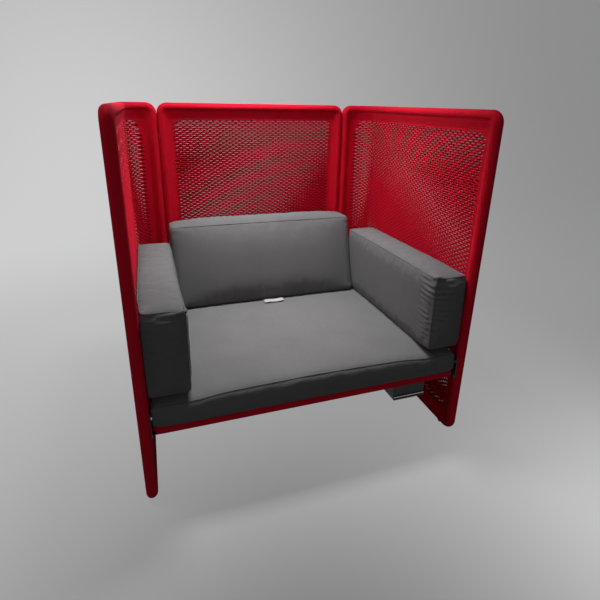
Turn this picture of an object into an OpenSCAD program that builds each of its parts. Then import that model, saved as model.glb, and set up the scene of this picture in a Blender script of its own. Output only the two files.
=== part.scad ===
// Acoustic high back lounge chair: three knit screens round a wide seat with loose cushions.
// Millimetres. The origin is on the floor under the middle of the chair, which faces -Y.

/* [Overall] */
// Width over the side screens
overall_w = 1300; // [1100:10:1900]
// Depth from the front of the side screens to the back of the back screen
overall_d = 1040; // [960:10:1200]
// Height from the floor to the top of the screens
overall_h = 1350; // [1150:10:1700]

/* [Screens] */
// Thickness of the padded rim round each screen
rim_d = 40; // [36:1:46]
// Outer radius of a screen's corners, seen from its face
corner_r = 48; // [44:1:60]
// Plan radius of the side screens' bend behind the seat, at the middle of the rim
plan_r = 100; // [90:1:104]
// Straight stretch of a side screen's rim between its bend behind the seat and its rear corner
rear_run = 6; // [4:1:60]
// Gap between neighbouring rims at the seams
seam_gap = 0.4; // [0.2:0.1:0.8]
// Outside diameter of the steel tube in the rims and the seat frame
tube_d = 25; // [22:0.5:27]
// Wall of the steel tube
tube_wall = 2; // [1.5:0.25:3]
// Thickness of one layer of knit
knit_t = 2; // [1.5:0.25:3]
// Distance between the two layers of net, middle to middle
layer_gap = 16; // [15:0.5:22]
// Plain knit between the rim and the net at the posts
side_border = 18; // [12:1:40]
// Plain knit between the rim and the net at the top and the foot
top_border = 32; // [16:1:60]
// Plain knit between the rim and the bend at the rear posts
rear_border = 8; // [4:1:10]

/* [Net] */
// Length of a slit
slit_w = 50; // [30:1:54]
// Height of a slit
slit_h = 24; // [10:1:28]
// Distance between slits along a row
slit_pitch = 66; // [62:1:90]
// Distance between rows
row_pitch = 50; // [44:1:70]
// Plain edge of a net outside its slits
net_margin = 8; // [4:1:20]

/* [Seat] */
// Height of the seat rail's underside above the floor, at the front
seat_z = 281; // [220:1:330]
// Thickness of the seat frame with its knit cover
rail_t = 30; // [28:1:36]
// How far the seat rail stands back from the front of the side screens
rail_setback = 12; // [6:1:40]
// Backward tilt of the seat in degrees
seat_tilt = 1.3; // [0:0.1:3]
// Plan radius of the seat frame's rear corners, outside
seat_rear_r = 90; // [84:1:110]
// Plan radius of the seat frame's front corners, outside
seat_front_r = 34; // [33:1:60]
// Gap between the seat frame and the back screen
seat_back_gap = 8; // [6:1:20]

/* [Cushions] */
// Thickness of the seat cushion at its edge seam
seat_cushion_t = 100; // [80:1:140]
// Height of the arm cushions
arm_h = 322; // [240:1:360]
// Thickness of the arm cushions
arm_t = 136; // [110:1:150]
// How far the arm cushions stand back from the front of the seat cushion
arm_setback = 1; // [0:1:60]
// How far the arm cushions end before the back of the seat cushion
arm_rear_gap = 146; // [130:1:300]
// Gap between the back cushion and each arm cushion
back_cushion_gap = 2; // [1:1:60]
// Height of the back cushion
back_cushion_h = 391; // [300:1:460]
// Thickness of the back cushion
back_cushion_t = 176; // [140:1:180]
// Lean of the back cushion from square to the seat, in degrees
back_lean = 16; // [6:0.5:18]
// Rise of a cushion's top in the middle
crown = 8; // [4:1:14]
// Gap that loose pieces keep to their seats
clearance = 0.3; // [0.2:0.05:0.6]

/* [Fittings] */
// Thickness of the seat brackets' steel
bracket_t = 3; // [2.5:0.5:4]
// Height of the front bracket bolts above the floor
front_bolt_z = 355; // [345:1:362]
// Thread diameter of the bolts
bolt_d = 8; // [6:1:8]
// Height of the glides
glide_h = 4; // [3:0.5:8]
// Diameter of the glides
glide_d = 24; // [18:1:30]
// Width of the box under the seat
box_w = 152; // [120:1:200]
// Distance of the box from the side of the seat frame
box_inset = 115; // [80:1:300]
// Height of the box under the seat
box_h = 88; // [50:1:95]
// Depth of the box under the seat
box_d = 100; // [70:1:140]

/* [Hidden] */

$fn = 48;
overrun = 1;

// Screens: the rims' centre lines and the reach of the plain knit from them
rim_r = rim_d / 2;
tube_r = tube_d / 2;
bore_r = tube_r - tube_wall;
bend_r = corner_r - rim_r;
wing_x = overall_w / 2 - rim_r;
front_y = rim_r - overall_d / 2;
back_y = overall_d / 2 - rim_r;
bend_x = wing_x - plan_r;
bend_y = back_y - plan_r;
rear_x = bend_x - rear_run - bend_r;
back_x = rear_x - rim_d - seam_gap;
foot_z = glide_h + rim_r;
head_z = overall_h - rim_r;
screen_h = head_z - foot_z;
middle_z = (head_z + foot_z) / 2;
side_reach = rim_r + side_border;
top_reach = rim_r + top_border;
rear_reach = rim_r + rear_border;

// The plain knit leaves the rim inside the rim's own padding
web_root = 5;
web_root_n = sqrt(pow(rim_r, 2) - pow(web_root, 2)) - knit_t / 2;

// Bolts through the seams, and screws
seam_bolt_shares = [0.12, 0.5, 0.9];
thread_r = bolt_d / 2;
head_r = 6.5;
head_h = 5;
screw_r = 3;
screw_head_r = 5.5;
screw_head_h = 3;
screw_l = 11;

// Glides stand under the side screens near their ends and under the back screen
glide_stem_r = 4;
glide_stem_l = 20;
wing_glide_shares = [0.07, 0.93];
back_glide_share = 0.62;

// Seat frame, in the tilted frame of the seat: y from the front rail's centre line, z from its middle
rail_r = rail_t / 2;
seat_x = wing_x - rim_r - bracket_t;
loop_x = seat_x - rail_r;
seat_y = front_y - rim_r + rail_setback + rail_r;
seat_axis_z = seat_z + rail_r;
loop_d = back_y - rim_r - seat_back_gap - rail_r - seat_y;
cross_bar_shares = [0.3, 0.52, 0.74];

// Brackets
shelf_w = 46;
shelf_d = 66;
front_upright_z = 20;
front_upright_back = 30;
front_upright_front = 19;
rear_upright_w = 30;
rear_upright_top = 24;
rear_bolt_rise = 52;
front_screw_y = 46;
rear_shelf_z = seat_axis_z - sin(seat_tilt) * (loop_d + rail_r) - rail_r - bracket_t;
rear_bolt_z = rear_shelf_z + rear_bolt_rise + bracket_t;

// Box under the seat
box_x = seat_x - box_inset - box_w;
box_y = 28;
box_wall = 2.5;
box_slant = 10;
lip_h = 7;
lip_t = 3;
trim_h = 4;
trim_t = 4;
trim_z = 12;

// Cushions
edge_r = 9;
swell = 6;
pull_in = 2;
seat_swell = 5;
back_swell = 10;
cushion_front_r = 14;
arm_corner_r = 12;
back_corner_r = 16;
crown_power = 8;
crown_shares = [0.96, 0.9, 0.8, 0.6];
cushion_side_gap = 1;
cushion_rear_gap = 9;
seat_half_w = seat_x - cushion_side_gap - seat_swell;
seat_cushion_front = seat_swell - rail_r;
seat_cushion_back = loop_d + rail_r - cushion_rear_gap - seat_swell;
seat_cushion_d = seat_cushion_back - seat_cushion_front;
seat_top = rail_r + clearance + seat_cushion_t;
arm_gap = 2;
arm_x = wing_x - rim_r - arm_gap - arm_t / 2;
arm_l = seat_cushion_d + 2 * seat_swell - arm_setback - arm_rear_gap;
arm_y = seat_cushion_front - seat_swell + arm_setback + arm_l / 2;
back_cushion_w = 2 * arm_x - arm_t - 2 * back_cushion_gap;
back_foot_y = loop_d + rail_r + seat_back_gap - 3 * clearance - back_cushion_t
              - tan(back_lean + seat_tilt) * back_cushion_h;
// Height of a crowned top at a share of the way from its middle to its edge
function crown_rise(share) = crown * (1 - pow(share, crown_power));

// The arm cushions rest where the seat cushion's top is highest under them
arm_seat_share = (arm_x - arm_t / 2 + swell + edge_r) / seat_half_w;
arm_foot = seat_top + crown_rise(arm_seat_share) + clearance;

// Blank tag
tag_w = 100;
tag_t = 0.8;
tag_out = 24;
tag_in = edge_r / 2;
tag_x = 10;

steel = [0.16, 0.16, 0.17];
zinc = [0.75, 0.75, 0.76];
red = [0.62, 0.03, 0.1];
grey = [0.27, 0.27, 0.28];
black = [0.05, 0.05, 0.05];

// Common shapes

module ring(outer, inner) {
    difference() {
        circle(outer);
        if (inner > 0) circle(inner);
    }
}

// Straight pipe along +Z
module pipe(l, outer, inner) {
    linear_extrude(l) ring(outer, inner);
}

// Quarter bend in the XY plane, from +X round to +Y
module elbow(r, outer, inner) {
    rotate_extrude(angle = 90) translate([r, 0]) ring(outer, inner);
}

// Closed loop in the XY plane, centred in x, with y from 0 to d
module flat_loop(half_w, d, near_r, far_r, outer, inner) {
    for (side = [0, 1]) mirror([side, 0, 0]) {
        translate([half_w, near_r, 0]) rotate([-90, 0, 0]) pipe(d - near_r - far_r, outer, inner);
        translate([half_w - far_r, d - far_r, 0]) elbow(far_r, outer, inner);
        translate([half_w - near_r, near_r, 0]) mirror([0, 1, 0]) elbow(near_r, outer, inner);
    }
    translate([near_r - half_w, 0, 0]) rotate([0, 90, 0]) pipe(2 * (half_w - near_r), outer, inner);
    translate([far_r - half_w, d, 0]) rotate([0, 90, 0]) pipe(2 * (half_w - far_r), outer, inner);
}

// Repeats a top run at the foot of a screen
module top_and_foot() {
    for (side = [0, 1])
        translate([0, 0, middle_z]) mirror([0, 0, side]) translate([0, 0, -middle_z]) children();
}

// Centre line of the right side screen: a loop that wraps round the rear corner of the seat
module wing_loop(outer, inner) {
    for (post = [[wing_x, front_y], [rear_x, back_y]])
        translate([post.x, post.y, foot_z + bend_r]) pipe(screen_h - 2 * bend_r, outer, inner);
    top_and_foot() {
        translate([wing_x, front_y + bend_r, head_z - bend_r])
            rotate([0, 90, 0]) rotate([0, 0, 180]) elbow(bend_r, outer, inner);
        translate([wing_x, front_y + bend_r, head_z])
            rotate([-90, 0, 0]) pipe(bend_y - front_y - bend_r, outer, inner);
        translate([bend_x, bend_y, head_z]) elbow(plan_r, outer, inner);
        translate([rear_x + bend_r, back_y, head_z])
            rotate([0, 90, 0]) pipe(bend_x - rear_x - bend_r, outer, inner);
        translate([rear_x + bend_r, back_y, head_z - bend_r])
            rotate([90, 0, 0]) rotate([0, 0, 90]) elbow(bend_r, outer, inner);
    }
}

module back_loop(outer, inner) {
    translate([0, back_y, foot_z])
        rotate([90, 0, 0]) flat_loop(back_x, screen_h, bend_r, bend_r, outer, inner);
}

// Section of one knit skin: x runs inwards from the rim's centre line, y is its height off the net
function skin(reach) = [[web_root, web_root_n], [reach, (layer_gap + knit_t) / 2],
                        [reach, (layer_gap - knit_t) / 2], [web_root, web_root_n - knit_t]];

// Sloped strip of plain knit along +X, mitred where it meets the strips beside it
module web_strip(run, reach, near_cut, far_cut) {
    near_root = near_cut > 0 ? web_root : 0;
    far_root = far_cut > 0 ? web_root : 0;
    intersection() {
        rotate([90, 0, 90]) linear_extrude(run)
            for (face = [0, 1]) mirror([0, face]) polygon(skin(reach));
        linear_extrude(rim_d, center = true)
            polygon([[near_root, web_root], [run - far_root, web_root],
                     [run - far_cut, reach], [near_cut, reach]]);
    }
}

// Cuts away the knit outside the rim's bend at the corner of a screen
module corner_trim() {
    linear_extrude(rim_d, center = true) difference() {
        translate([-overrun, -overrun]) square(bend_r + overrun);
        translate([bend_r, bend_r]) circle(bend_r - web_root);
    }
}

// Frame of plain knit inside a flat rim, with x and y measured from the rim's centre lines
module flat_web(w, h, near_reach, far_reach) {
    difference() {
        union() {
            web_strip(w, top_reach, near_reach, far_reach);
            translate([0, h, 0]) mirror([0, 1, 0]) web_strip(w, top_reach, near_reach, far_reach);
            if (near_reach > 0)
                rotate([0, 0, 90]) mirror([0, 1, 0]) web_strip(h, near_reach, top_reach, top_reach);
            if (far_reach > 0)
                translate([w, 0, 0]) rotate([0, 0, 90]) web_strip(h, far_reach, top_reach, top_reach);
        }
        for (row = [0, 1]) translate([0, row * h, 0]) mirror([0, row, 0]) {
            if (near_reach > 0) corner_trim();
            if (far_reach > 0) translate([w, 0, 0]) mirror([1, 0, 0]) corner_trim();
        }
    }
}

// One lens-shaped slit, between two arcs
module slit() {
    rise = slit_h / 2;
    arc_r = (pow(slit_w / 2, 2) + pow(rise, 2)) / slit_h;
    intersection_for (side = [-1, 1]) translate([0, side * (arc_r - rise)]) circle(arc_r);
}

// Flat net with rows of slits in brick order, from the corner at the origin
module flat_net(w, h) {
    columns = floor((w - 2 * net_margin - slit_w) / slit_pitch) + 1;
    rows = floor((h - 2 * net_margin - slit_h) / row_pitch) + 1;
    linear_extrude(knit_t, center = true) difference() {
        square([w, h]);
        for (row = [0 : rows - 1], column = [0 : columns - 1 - row % 2])
            translate([w / 2 + (column - (columns - 1 - row % 2) / 2) * slit_pitch,
                       h / 2 + (row - (rows - 1) / 2) * row_pitch]) slit();
    }
}

// Places a shape drawn in x and y upright on the right side screen, x running back from the front post
module on_wing_side() {
    translate([wing_x, front_y, foot_z]) rotate([90, 0, 90]) children();
}

// Right side screen

module wing_bolt_holes(r) {
    for (share = seam_bolt_shares)
        translate([0, back_y, foot_z + share * screen_h])
            rotate([0, 90, 0]) cylinder(h = rear_x + rim_d, r = r);
}

module wing_glide_holes(r) {
    for (share = wing_glide_shares)
        translate([wing_x, front_y + share * (bend_y - front_y), glide_h - overrun])
            cylinder(h = glide_stem_l + overrun, r = r);
}

module front_bolt_hole(r, l) {
    translate([wing_x - l, front_y, front_bolt_z]) rotate([0, 90, 0]) cylinder(h = l, r = r);
}

module wing_tube() {
    difference() {
        wing_loop(tube_r, bore_r);
        wing_bolt_holes(thread_r);
        wing_glide_holes(glide_stem_r);
        front_bolt_hole(thread_r, rim_d);
    }
}

module wing_rim() {
    difference() {
        union() {
            wing_loop(rim_r, tube_r);
            on_wing_side() flat_web(bend_y - front_y, screen_h, side_reach, 0);
            translate([rear_x, back_y, foot_z]) rotate([90, 0, 0])
                flat_web(bend_x - rear_x, screen_h, rear_reach, 0);
            top_and_foot() translate([bend_x, bend_y, head_z])
                rotate_extrude(angle = 90)
                    for (face = [-1, 1])
                        polygon([for (p = skin(top_reach)) [plan_r + face * p.y, -p.x]]);
        }
        wing_bolt_holes(thread_r);
        wing_glide_holes(glide_stem_r);
        front_bolt_hole(thread_r, rim_d);
    }
}

module wing_net(face) {
    on_wing_side() translate([side_reach, top_reach, face * layer_gap / 2])
        flat_net(bend_y - front_y - side_reach, screen_h - 2 * top_reach);
}

// Net round the bend: slits over its front part, plain knit behind
module corner_net(face) {
    h = screen_h - 2 * top_reach;
    rows = floor((h - 2 * net_margin - slit_h) / row_pitch) + 1;
    step = slit_pitch / plan_r * 180 / PI;
    skin_r = plan_r + face * layer_gap / 2;
    translate([bend_x, bend_y, foot_z + top_reach]) difference() {
        union() {
            rotate_extrude(angle = 90) translate([skin_r - knit_t / 2, 0]) square([knit_t, h]);
            translate([rear_x + rear_reach - bend_x, skin_r - knit_t / 2, 0])
                cube([bend_x - rear_x - rear_reach, knit_t, h]);
        }
        for (row = [0 : rows - 1], column = [0 : 1 - row % 2])
            rotate([0, 0, step * (column + (1 + row % 2) / 2)])
                translate([skin_r, 0, h / 2 + (row - (rows - 1) / 2) * row_pitch])
                    rotate([90, 0, 90]) linear_extrude(layer_gap, center = true) slit();
    }
}

// Screens as they stand

module mirrored(left) {
    mirror([left ? 1 : 0, 0, 0]) children();
}

module left_screen_tube() { color(steel) mirrored(true) wing_tube(); }
module right_screen_tube() { color(steel) wing_tube(); }
module left_screen_rim() { color(red) mirrored(true) wing_rim(); }
module right_screen_rim() { color(red) wing_rim(); }
module left_net_inner() { color(red) mirrored(true) wing_net(-1); }
module left_net_outer() { color(red) mirrored(true) wing_net(1); }
module right_net_inner() { color(red) wing_net(-1); }
module right_net_outer() { color(red) wing_net(1); }
module left_corner_net_inner() { color(red) mirrored(true) corner_net(-1); }
module left_corner_net_outer() { color(red) mirrored(true) corner_net(1); }
module right_corner_net_inner() { color(red) corner_net(-1); }
module right_corner_net_outer() { color(red) corner_net(1); }

module back_holes() {
    for (side = [0, 1]) mirror([side, 0, 0]) {
        wing_bolt_holes(thread_r);
        translate([back_glide_share * back_x, back_y, glide_h - overrun])
            cylinder(h = glide_stem_l + overrun, r = glide_stem_r);
        rear_bolt_hole(thread_r, rim_r);
    }
}

module back_screen_tube() {
    color(steel) difference() {
        back_loop(tube_r, bore_r);
        back_holes();
    }
}

module back_screen_rim() {
    color(red) difference() {
        union() {
            back_loop(rim_r, tube_r);
            translate([-back_x, back_y, foot_z]) rotate([90, 0, 0])
                flat_web(2 * back_x, screen_h, side_reach, side_reach);
        }
        back_holes();
    }
}

module back_net(face) {
    translate([side_reach - back_x, back_y + face * layer_gap / 2, foot_z + top_reach])
        rotate([90, 0, 0]) flat_net(2 * (back_x - side_reach), screen_h - 2 * top_reach);
}

module back_net_inner() { color(red) back_net(-1); }
module back_net_outer() { color(red) back_net(1); }

// Bolts that hold the screens together, with head and nut between the layers of knit
module seam_bolts() {
    color(zinc)
        for (side = [0, 1], share = seam_bolt_shares)
            mirror([side, 0, 0]) translate([back_x - rim_r, back_y, foot_z + share * screen_h])
                rotate([0, 90, 0]) {
                    cylinder(h = rear_x - back_x + rim_d, r = thread_r);
                    translate([0, 0, -head_h]) cylinder(h = head_h, r = head_r);
                    translate([0, 0, rear_x - back_x + rim_d]) cylinder(h = head_h, r = head_r, $fn = 6);
                }
}

module glide() {
    cylinder(h = glide_h, d = glide_d);
    cylinder(h = glide_h + glide_stem_l - overrun, r = glide_stem_r);
}

module glides() {
    color(black) for (side = [0, 1]) mirror([side, 0, 0]) {
        for (share = wing_glide_shares)
            translate([wing_x, front_y + share * (bend_y - front_y), 0]) glide();
        translate([back_glide_share * back_x, back_y, 0]) glide();
    }
}

// Seat frame

module on_seat() {
    translate([0, seat_y, seat_axis_z]) rotate([-seat_tilt, 0, 0]) children();
}

module seat_loop(outer, inner) {
    flat_loop(loop_x, loop_d, seat_front_r - rail_r, seat_rear_r - rail_r, outer, inner);
}

// Plan of the seat frame inside its centre line
module seat_plan() {
    near = seat_front_r - rail_r;
    far = seat_rear_r - rail_r;
    translate([-loop_x, near]) square([2 * loop_x, loop_d - near - far]);
    translate([near - loop_x, 0]) square([2 * (loop_x - near), loop_d]);
    translate([far - loop_x, near]) square([2 * (loop_x - far), loop_d - near]);
    for (side = [-1, 1]) {
        translate([side * (loop_x - near), near]) circle(near);
        translate([side * (loop_x - far), loop_d - far]) circle(far);
    }
}

module bracket_screw_holes(r) {
    for (side = [-1, 1]) {
        translate([side * loop_x, front_screw_y, -rail_r - bracket_t - overrun])
            cylinder(h = screw_l + bracket_t + overrun, r = r);
        translate([side * back_x, loop_d, -rail_r - bracket_t - overrun])
            cylinder(h = screw_l + bracket_t + overrun, r = r);
    }
}

module seat_tube() {
    color(steel) on_seat() difference() {
        seat_loop(tube_r, bore_r);
        bracket_screw_holes(screw_r);
    }
}

module seat_cross_bars() {
    color(steel) on_seat() difference() {
        for (share = cross_bar_shares)
            translate([-loop_x, share * loop_d, 0]) rotate([0, 90, 0]) pipe(2 * loop_x, tube_r, bore_r);
        for (side = [-1, 1])
            translate([side * loop_x, 0, 0]) rotate([-90, 0, 0]) cylinder(h = loop_d, r = tube_r);
    }
}

// Padded knit over the whole seat frame, with the tubes inside
module seat_cover() {
    color(red) on_seat() difference() {
        union() {
            seat_loop(rail_r, 0);
            linear_extrude(rail_t, center = true) seat_plan();
        }
        seat_loop(tube_r, 0);
        linear_extrude(tube_d, center = true) seat_plan();
        bracket_screw_holes(screw_r);
    }
}

// Brackets that carry the seat on the screens' posts

module front_bracket() {
    difference() {
        on_seat() {
            translate([seat_x, -front_upright_front, -rail_r - bracket_t])
                cube([bracket_t, front_upright_front + shelf_d, bracket_t + rail_r]);
            translate([seat_x, -front_upright_front, -rail_r])
                cube([bracket_t, front_upright_front + front_upright_back,
                      front_bolt_z - seat_axis_z + rail_r + front_upright_z]);
            translate([seat_x - shelf_w, 0, -rail_r - bracket_t])
                cube([shelf_w + bracket_t, shelf_d, bracket_t]);
        }
        front_bolt_hole(thread_r, rim_d);
        on_seat() bracket_screw_holes(screw_r);
    }
}

module rear_bolt_hole(r, l) {
    translate([back_x, back_y - rim_d, rear_bolt_z]) rotate([-90, 0, 0]) cylinder(h = rim_d, r = r);
}

module rear_bracket() {
    face_y = back_y - rim_r;
    difference() {
        union() {
            translate([back_x - rear_upright_w / 2, face_y - bracket_t, rear_shelf_z - bracket_t / 2])
                cube([rear_upright_w, bracket_t, rear_bolt_z - rear_shelf_z + rear_upright_top]);
            on_seat() translate([back_x - rear_upright_w / 2, loop_d + rail_r - shelf_d,
                                 -rail_r - bracket_t])
                cube([rear_upright_w, shelf_d + seat_back_gap, bracket_t]);
        }
        translate([back_x - rear_upright_w, face_y, 0]) cube([2 * rear_upright_w, rim_d, overall_h]);
        rear_bolt_hole(thread_r, rim_d);
        on_seat() bracket_screw_holes(screw_r);
    }
}

module left_front_bracket() { color(black) mirrored(true) front_bracket(); }
module right_front_bracket() { color(black) front_bracket(); }
module left_rear_bracket() { color(black) mirrored(true) rear_bracket(); }
module right_rear_bracket() { color(black) rear_bracket(); }

// Button-head bolt along +Z, its head below z = 0
module button_bolt(l) {
    cylinder(h = l, r = thread_r);
    translate([0, 0, -head_h]) cylinder(h = head_h, r = head_r);
}

module bracket_bolts() {
    color(zinc) for (side = [0, 1]) mirror([side, 0, 0]) {
        translate([seat_x, front_y, front_bolt_z]) rotate([0, 90, 0]) button_bolt(rim_r + bracket_t);
        translate([back_x, back_y - rim_r - bracket_t, rear_bolt_z])
            rotate([-90, 0, 0]) button_bolt(rim_r + bracket_t);
    }
}

module bracket_screws() {
    color(zinc) on_seat() for (side = [-1, 1], place = [[loop_x, front_screw_y], [back_x, loop_d]])
        translate([side * place.x, place.y, -rail_r - bracket_t]) {
            cylinder(h = screw_l + bracket_t, r = screw_r);
            translate([0, 0, -screw_head_h]) cylinder(h = screw_head_h, r = screw_head_r);
        }
}

// Box under the seat: open at the top against the seat, with one slanted end

module box_outline(inset) {
    polygon([[box_x + inset, 0], [box_x + box_w - inset, 0], [box_x + box_w - inset, inset - box_h],
             [box_x + box_slant + inset, inset - box_h]]);
}

module under_seat_box() {
    color(black) on_seat() translate([0, box_y, -rail_r]) {
        difference() {
            rotate([90, 0, 0]) translate([0, 0, -box_d]) linear_extrude(box_d) box_outline(0);
            translate([0, box_d - box_wall, 0]) rotate([90, 0, 0])
                linear_extrude(box_d - 2 * box_wall) box_outline(box_wall);
        }
        translate([box_x + box_slant, -lip_t, -box_h]) cube([box_w - box_slant, lip_t, lip_h]);
    }
}

module under_seat_box_trim() {
    color(zinc) on_seat()
        translate([box_x + box_slant, box_y - trim_t, -rail_r - box_h + trim_z])
            cube([box_w - box_slant, trim_t, trim_h]);
}

// Cushions

// Points round a cushion's outline: [x, y, outward x, outward y, share towards the middle of its side]
function outline(half_w, half_d, near_r, far_r, arcs, spans) =
    let (corners = [[1, -1, near_r, -90], [1, 1, far_r, 0], [-1, 1, far_r, 90], [-1, -1, near_r, 180]])
    [for (k = [0 : 3])
        let (c = corners[k], n = corners[(k + 1) % 4],
             cx = c[0] * (half_w - c[2]), cy = c[1] * (half_d - c[2]),
             nx = n[0] * (half_w - n[2]), ny = n[1] * (half_d - n[2]), turn = c[3] + 90)
        each concat(
            [for (i = [0 : arcs]) let (a = c[3] + 90 * i / arcs)
                [cx + c[2] * cos(a), cy + c[2] * sin(a), cos(a), sin(a), 0]],
            [for (i = [1 : spans - 1]) let (t = i / spans)
                [cx + c[2] * cos(turn) + (nx + n[2] * cos(turn) - cx - c[2] * cos(turn)) * t,
                 cy + c[2] * sin(turn) + (ny + n[2] * sin(turn) - cy - c[2] * sin(turn)) * t,
                 cos(turn), sin(turn), 1 - pow(2 * t - 1, 2)]])];

// Rings up a cushion: [inset, height, scale, how far up the border from -1 to 1]
function rings(h, arcs, borders) = concat(
    [for (i = [0 : arcs]) let (a = 90 * i / arcs)
        [edge_r * (1 - sin(a)), edge_r * (1 - cos(a)), 1, -1]],
    [for (i = [1 : borders - 1]) let (t = i / borders)
        [0, edge_r + t * (h - 2 * edge_r), 1, 2 * t - 1]],
    [for (i = [0 : arcs]) let (a = 90 * i / arcs)
        [edge_r * (1 - cos(a)), h - edge_r + edge_r * sin(a), 1, 1]],
    [for (share = crown_shares) [edge_r, h + crown_rise(share), share, 1]]);

// Crowned cushion centred in x and y, standing on z = 0, with full sides drawn in at its seams
module cushion(size, near_r, far_r, swells, lean) {
    path = outline(size.x / 2, size.y / 2, near_r, far_r, 4, 8);
    rows = rings(size.z, 3, 5);
    count = len(path);
    last = len(rows) - 1;
    body = [for (r = rows, p = path)
        let (full = abs(p[2]) * swells.x + abs(p[3]) * swells.y,
             out = p[4] * (full * (1 - pow(r[3], 2)) - pull_in * pow(r[3], 2)) - r[0])
        [(p[0] + p[2] * out) * r[2], (p[1] + p[3] * out) * r[2] + tan(lean) * r[1], r[1]]];
    caps = [[0, 0, 0], [0, tan(lean) * size.z, size.z + crown]];
    walls = [for (j = [0 : last - 1], i = [0 : count - 1])
        let (a = j * count + i, b = j * count + (i + 1) % count)
        each [[a, a + count, b], [b, a + count, b + count]]];
    floor_fan = [for (i = [0 : count - 1]) [len(body), i, (i + 1) % count]];
    top_fan = [for (i = [0 : count - 1])
        [len(body) + 1, last * count + (i + 1) % count, last * count + i]];
    polyhedron(concat(body, caps), concat(walls, floor_fan, top_fan));
}

module seat_cushion() {
    color(grey) on_seat()
        translate([0, seat_cushion_front + seat_cushion_d / 2, rail_r + clearance])
            cushion([2 * seat_half_w, seat_cushion_d, seat_cushion_t], cushion_front_r, seat_rear_r,
                    [seat_swell, seat_swell], 0);
}

module arm_cushion() {
    on_seat() translate([arm_x, arm_y, arm_foot])
        cushion([arm_t - 2 * swell, arm_l - 2 * swell, arm_h], arm_corner_r, arm_corner_r, [swell, swell], 0);
}

module left_arm_cushion() { color(grey) mirrored(true) arm_cushion(); }
module right_arm_cushion() { color(grey) arm_cushion(); }

module back_cushion() {
    color(grey) on_seat() translate([0, back_foot_y + back_cushion_t / 2, seat_top + crown + clearance])
        cushion([back_cushion_w - 2 * swell, back_cushion_t - 2 * back_swell, back_cushion_h],
                back_corner_r, back_corner_r, [swell, back_swell], back_lean);
}

// Blank cloth tag from the back cushion's lower seam, lying on the seat
module blank_tag() {
    color("white") on_seat() translate([tag_x - tag_w / 2, back_foot_y + back_swell - tag_out,
                                        seat_top + crown + clearance])
        cube([tag_w, tag_out + tag_in, tag_t]);
}

left_screen_tube();
right_screen_tube();
back_screen_tube();
left_screen_rim();
right_screen_rim();
back_screen_rim();
left_net_inner();
left_net_outer();
right_net_inner();
right_net_outer();
back_net_inner();
back_net_outer();
left_corner_net_inner();
left_corner_net_outer();
right_corner_net_inner();
right_corner_net_outer();
seam_bolts();
glides();
seat_tube();
seat_cross_bars();
seat_cover();
left_front_bracket();
right_front_bracket();
left_rear_bracket();
right_rear_bracket();
bracket_bolts();
bracket_screws();
under_seat_box();
under_seat_box_trim();
seat_cushion();
back_cushion();
left_arm_cushion();
right_arm_cushion();
blank_tag();
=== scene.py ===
"""Looks of the acoustic high back lounge chair: knit screens, seat rail, cushions and fittings."""
import math
import bpy
import bmesh
from mathutils import Matrix, Vector, noise
from mathutils.bvhtree import BVHTree
from mathutils.kdtree import KDTree


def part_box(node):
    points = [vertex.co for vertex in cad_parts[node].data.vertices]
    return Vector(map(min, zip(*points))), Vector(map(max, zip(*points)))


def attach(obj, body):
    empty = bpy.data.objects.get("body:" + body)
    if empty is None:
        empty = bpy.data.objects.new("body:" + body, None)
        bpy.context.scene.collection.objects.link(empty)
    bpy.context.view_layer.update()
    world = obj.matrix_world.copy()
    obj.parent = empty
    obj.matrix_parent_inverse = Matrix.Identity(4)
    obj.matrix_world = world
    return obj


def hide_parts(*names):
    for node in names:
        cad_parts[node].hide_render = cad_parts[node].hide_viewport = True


bl_info = {
    "name": "Acoustic lounge chair",
    "version": (1, 0, 0),
    "blender": (4, 5, 0),
    "location": "3D View > Sidebar > Chair",
    "description": "Dresses the chair's frame with knit screens, cushions and fittings",
    "category": "Object",
}

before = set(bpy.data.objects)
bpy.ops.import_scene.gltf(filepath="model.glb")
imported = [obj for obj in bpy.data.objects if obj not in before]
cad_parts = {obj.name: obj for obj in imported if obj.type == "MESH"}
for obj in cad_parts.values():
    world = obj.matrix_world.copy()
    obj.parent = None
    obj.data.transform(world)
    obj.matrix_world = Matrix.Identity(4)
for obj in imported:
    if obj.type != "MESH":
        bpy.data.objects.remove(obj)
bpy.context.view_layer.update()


def cad(node):
    """Lowest and highest corner of a CAD node as vectors."""
    low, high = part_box(node)
    return Vector(low), Vector(high)


RIM_LOW, RIM_HIGH = cad("right_screen_rim")
BACK_LOW, BACK_HIGH = cad("back_screen_rim")
RAIL_LOW, RAIL_HIGH = cad("seat_cover")
SEAT_LOW, SEAT_HIGH = cad("seat_cushion")
ARM_LOW, ARM_HIGH = cad("right_arm_cushion")
BACK_CUSHION_LOW = cad("back_cushion")[0]

# The seat's tilted frame: its origin is the middle of the front rail
RAIL_R = 0.015
SEAT_ORIGIN = Vector((0, RAIL_LOW.y + RAIL_R, RAIL_HIGH.z - RAIL_R))
SEAT_TILT = math.radians(1.3)
TILT = Matrix.Rotation(-SEAT_TILT, 3, "X")


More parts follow.
